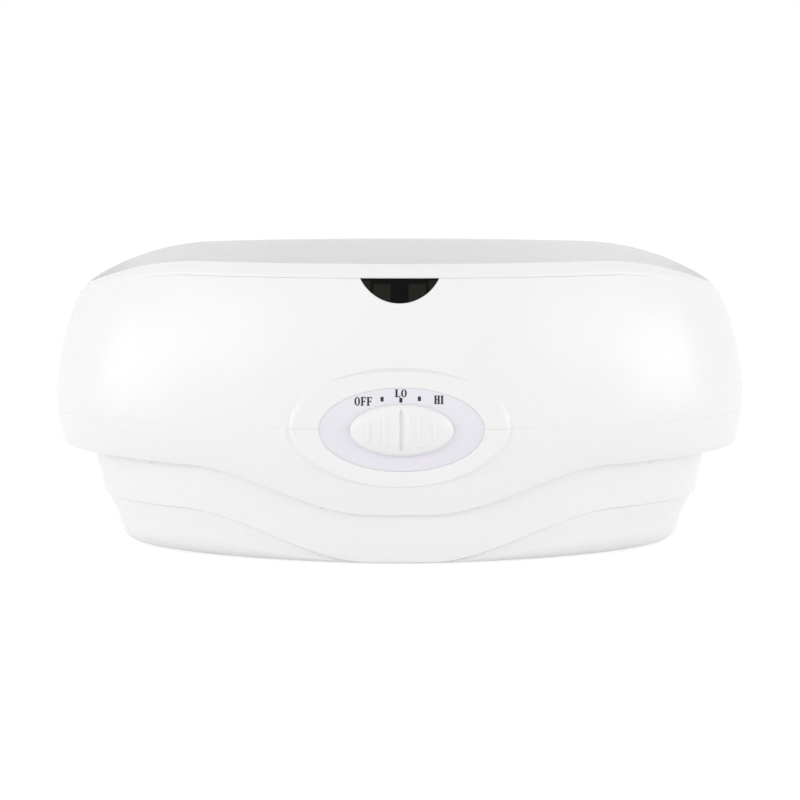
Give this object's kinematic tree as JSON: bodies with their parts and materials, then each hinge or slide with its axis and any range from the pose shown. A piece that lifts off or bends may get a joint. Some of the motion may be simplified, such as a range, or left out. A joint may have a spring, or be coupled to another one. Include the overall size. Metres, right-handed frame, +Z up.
{
  "type": "paraffin bath",
  "caption": "Oval electric paraffin wax bath with a heated aluminium tank, waved tiered housing, saddle-shaped rim and sliding heat control.",
  "frame": {"origin": "centre of the bounding box at the underside of the feet", "axes": "+X to the right seen from the front, +Y to the rear, +Z up"},
  "size_m": [0.3866, 0.2358, 0.164],
  "materials": {
    "white_plastic": "white moulded housing plastic, satin gloss",
    "panel_plastic": "lavender-grey panel",
    "window_plastic": "black glossy lens",
    "tank_aluminium": "spun aluminium",
    "silicone": "grey silicone",
    "nylon": "natural nylon",
    "phenolic": "brown phenolic",
    "lamp_glass": "amber neon lamp",
    "rubber": "black rubber",
    "wire_jacket": "silicone-braided wire",
    "heater_steel": "annealed sheath",
    "screw_steel": "zinc-plated",
    "galvanised_steel": "galvanised sheet"
  },
  "bodies": {
    "housing": {"upper_housing": "white_plastic", "lower_housing": "white_plastic", "top_rim": "white_plastic", "control_panel": "panel_plastic", "indicator_window": "window_plastic", "tank": "tank_aluminium", "tank_gasket": "silicone", "grille": "nylon", "slide_guide": "nylon", "terminal_block": "nylon", "thermal_fuse": "nylon", "heater": "heater_steel", "thermostat_bracket": "galvanised_steel", "heater_clamp_left": "galvanised_steel", "heater_clamp_right": "galvanised_steel", "fuse_clip": "galvanised_steel", "heat_shield": "galvanised_steel", "thermostat_body": "phenolic", "lamp_holder": "phenolic", "power_lamp": "lamp_glass", "ready_lamp": "lamp_glass", "cord_gland": "rubber", "heater_wire_left": "wire_jacket", "heater_wire_right": "wire_jacket", "clamp_screw_left": "screw_steel", "clamp_screw_right": "screw_steel", "guide_screw_left": "screw_steel", "guide_screw_right": "screw_steel", "bracket_screw_left": "screw_steel", "bracket_screw_right": "screw_steel", "foot_front_right": "rubber", "housing_screw_front_right": "screw_steel", "tank_screw_front_right": "screw_steel", "shield_screw_front_right": "screw_steel", "foot_front_left": "rubber", "housing_screw_front_left": "screw_steel", "tank_screw_front_left": "screw_steel", "shield_screw_front_left": "screw_steel", "foot_rear_right": "rubber", "housing_screw_rear_right": "screw_steel", "tank_screw_rear_right": "screw_steel", "shield_screw_rear_right": "screw_steel", "foot_rear_left": "rubber", "housing_screw_rear_left": "screw_steel", "tank_screw_rear_left": "screw_steel", "shield_screw_rear_left": "screw_steel"},
    "slider": {"slider_knob": "white_plastic", "slide_carriage": "nylon"},
    "thermostat_drive": {"thermostat_shaft": "screw_steel", "pinion": "nylon"}
  },
  "joints": [
    {"name": "heat_slide", "type": "slide", "parent": "housing", "child": "slider", "axis": [1, 0, 0], "range_m": [-0.0172, 0.0148]},
    {"name": "thermostat_turn", "type": "hinge", "parent": "housing", "child": "thermostat_drive", "pos_m": [0, -0.09725, 0.057], "axis": [0, 1, 0], "range_deg": [-115, 99.5]}
  ],
  "couplings": [
    {"joint": "thermostat_turn", "follows": "heat_slide", "rad_per_m": 111.11}
  ]
}
